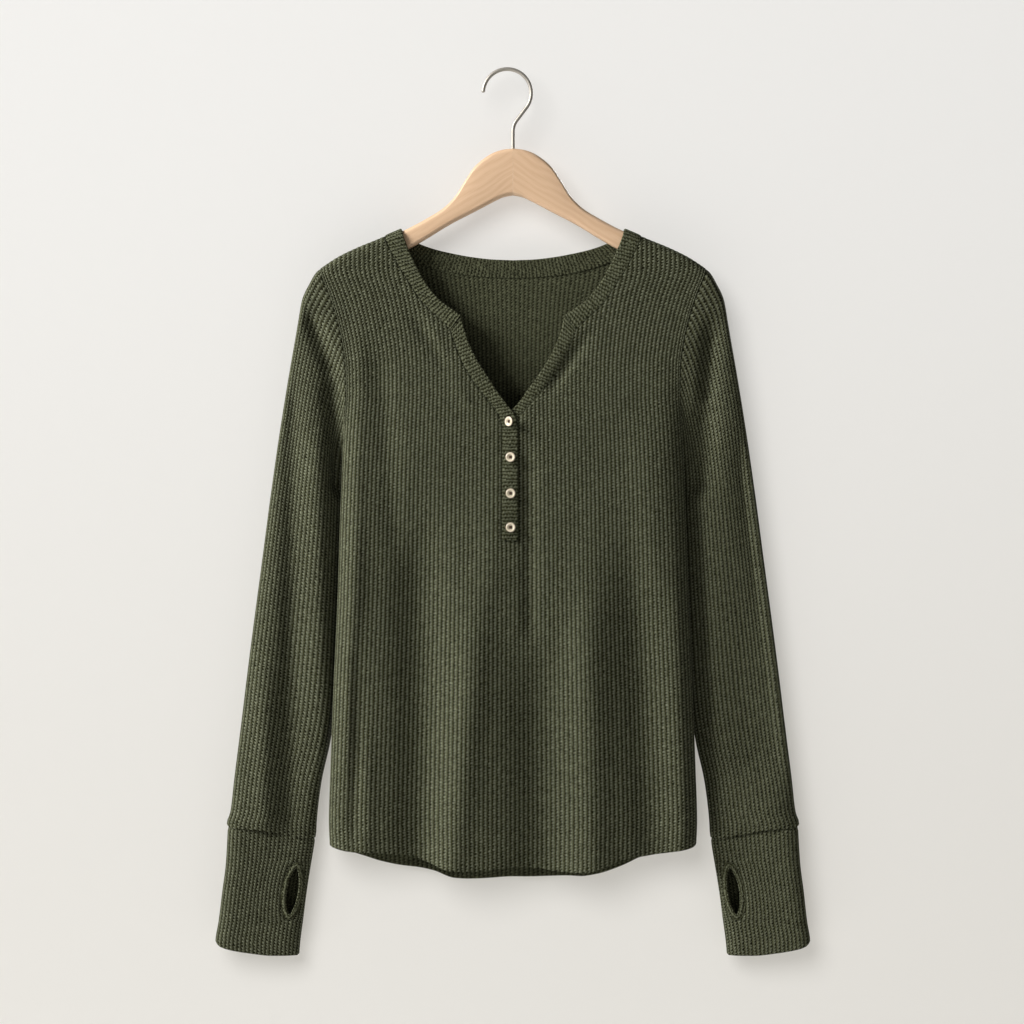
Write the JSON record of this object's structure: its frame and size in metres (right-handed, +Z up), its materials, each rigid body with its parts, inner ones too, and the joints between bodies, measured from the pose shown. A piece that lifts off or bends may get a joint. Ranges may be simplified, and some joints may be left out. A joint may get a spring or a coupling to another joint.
{
  "type": "long-sleeve henley top on a wooden hanger",
  "caption": "Long-sleeve ribbed-knit henley top with an open buttoned placket, curved hem and thumbhole cuffs, hung on a flat wooden hanger with a wire hook.",
  "frame": {"origin": "underside of the hook's crown, where a rail, nail or wall hook carries the hanger", "axes": "+Z up, the front of the top faces -Y, +X to the right as seen from the front"},
  "size_m": [0.5952, 0.0568, 0.8886],
  "materials": {
    "knit": "dark olive ribbed waffle knit, matt, with light rib crests and dark grooves",
    "knit_band": "the same knit turned so that its ribs cross the band, matt",
    "shell": "cream shell look, satin, brown shade in the well",
    "wood": "pale clear-lacquered hardwood, satin, grain running along each arm",
    "hook_wire": "warm brushed nickel wire"
  },
  "bodies": {
    "root": {"front": "knit", "back": "knit", "neckband": "knit_band", "placket_top": "knit_band", "placket_under": "knit_band", "sleeve_left": "knit", "sleeve_right": "knit", "cuff_left": "knit", "cuff_right": "knit", "thumb_band_left": "knit_band", "thumb_band_right": "knit_band", "button_1": "shell", "button_2": "shell", "button_3": "shell", "button_4": "shell", "hanger_left": "wood", "hanger_right": "wood", "hook": "hook_wire"}
  },
  "joints": []
}
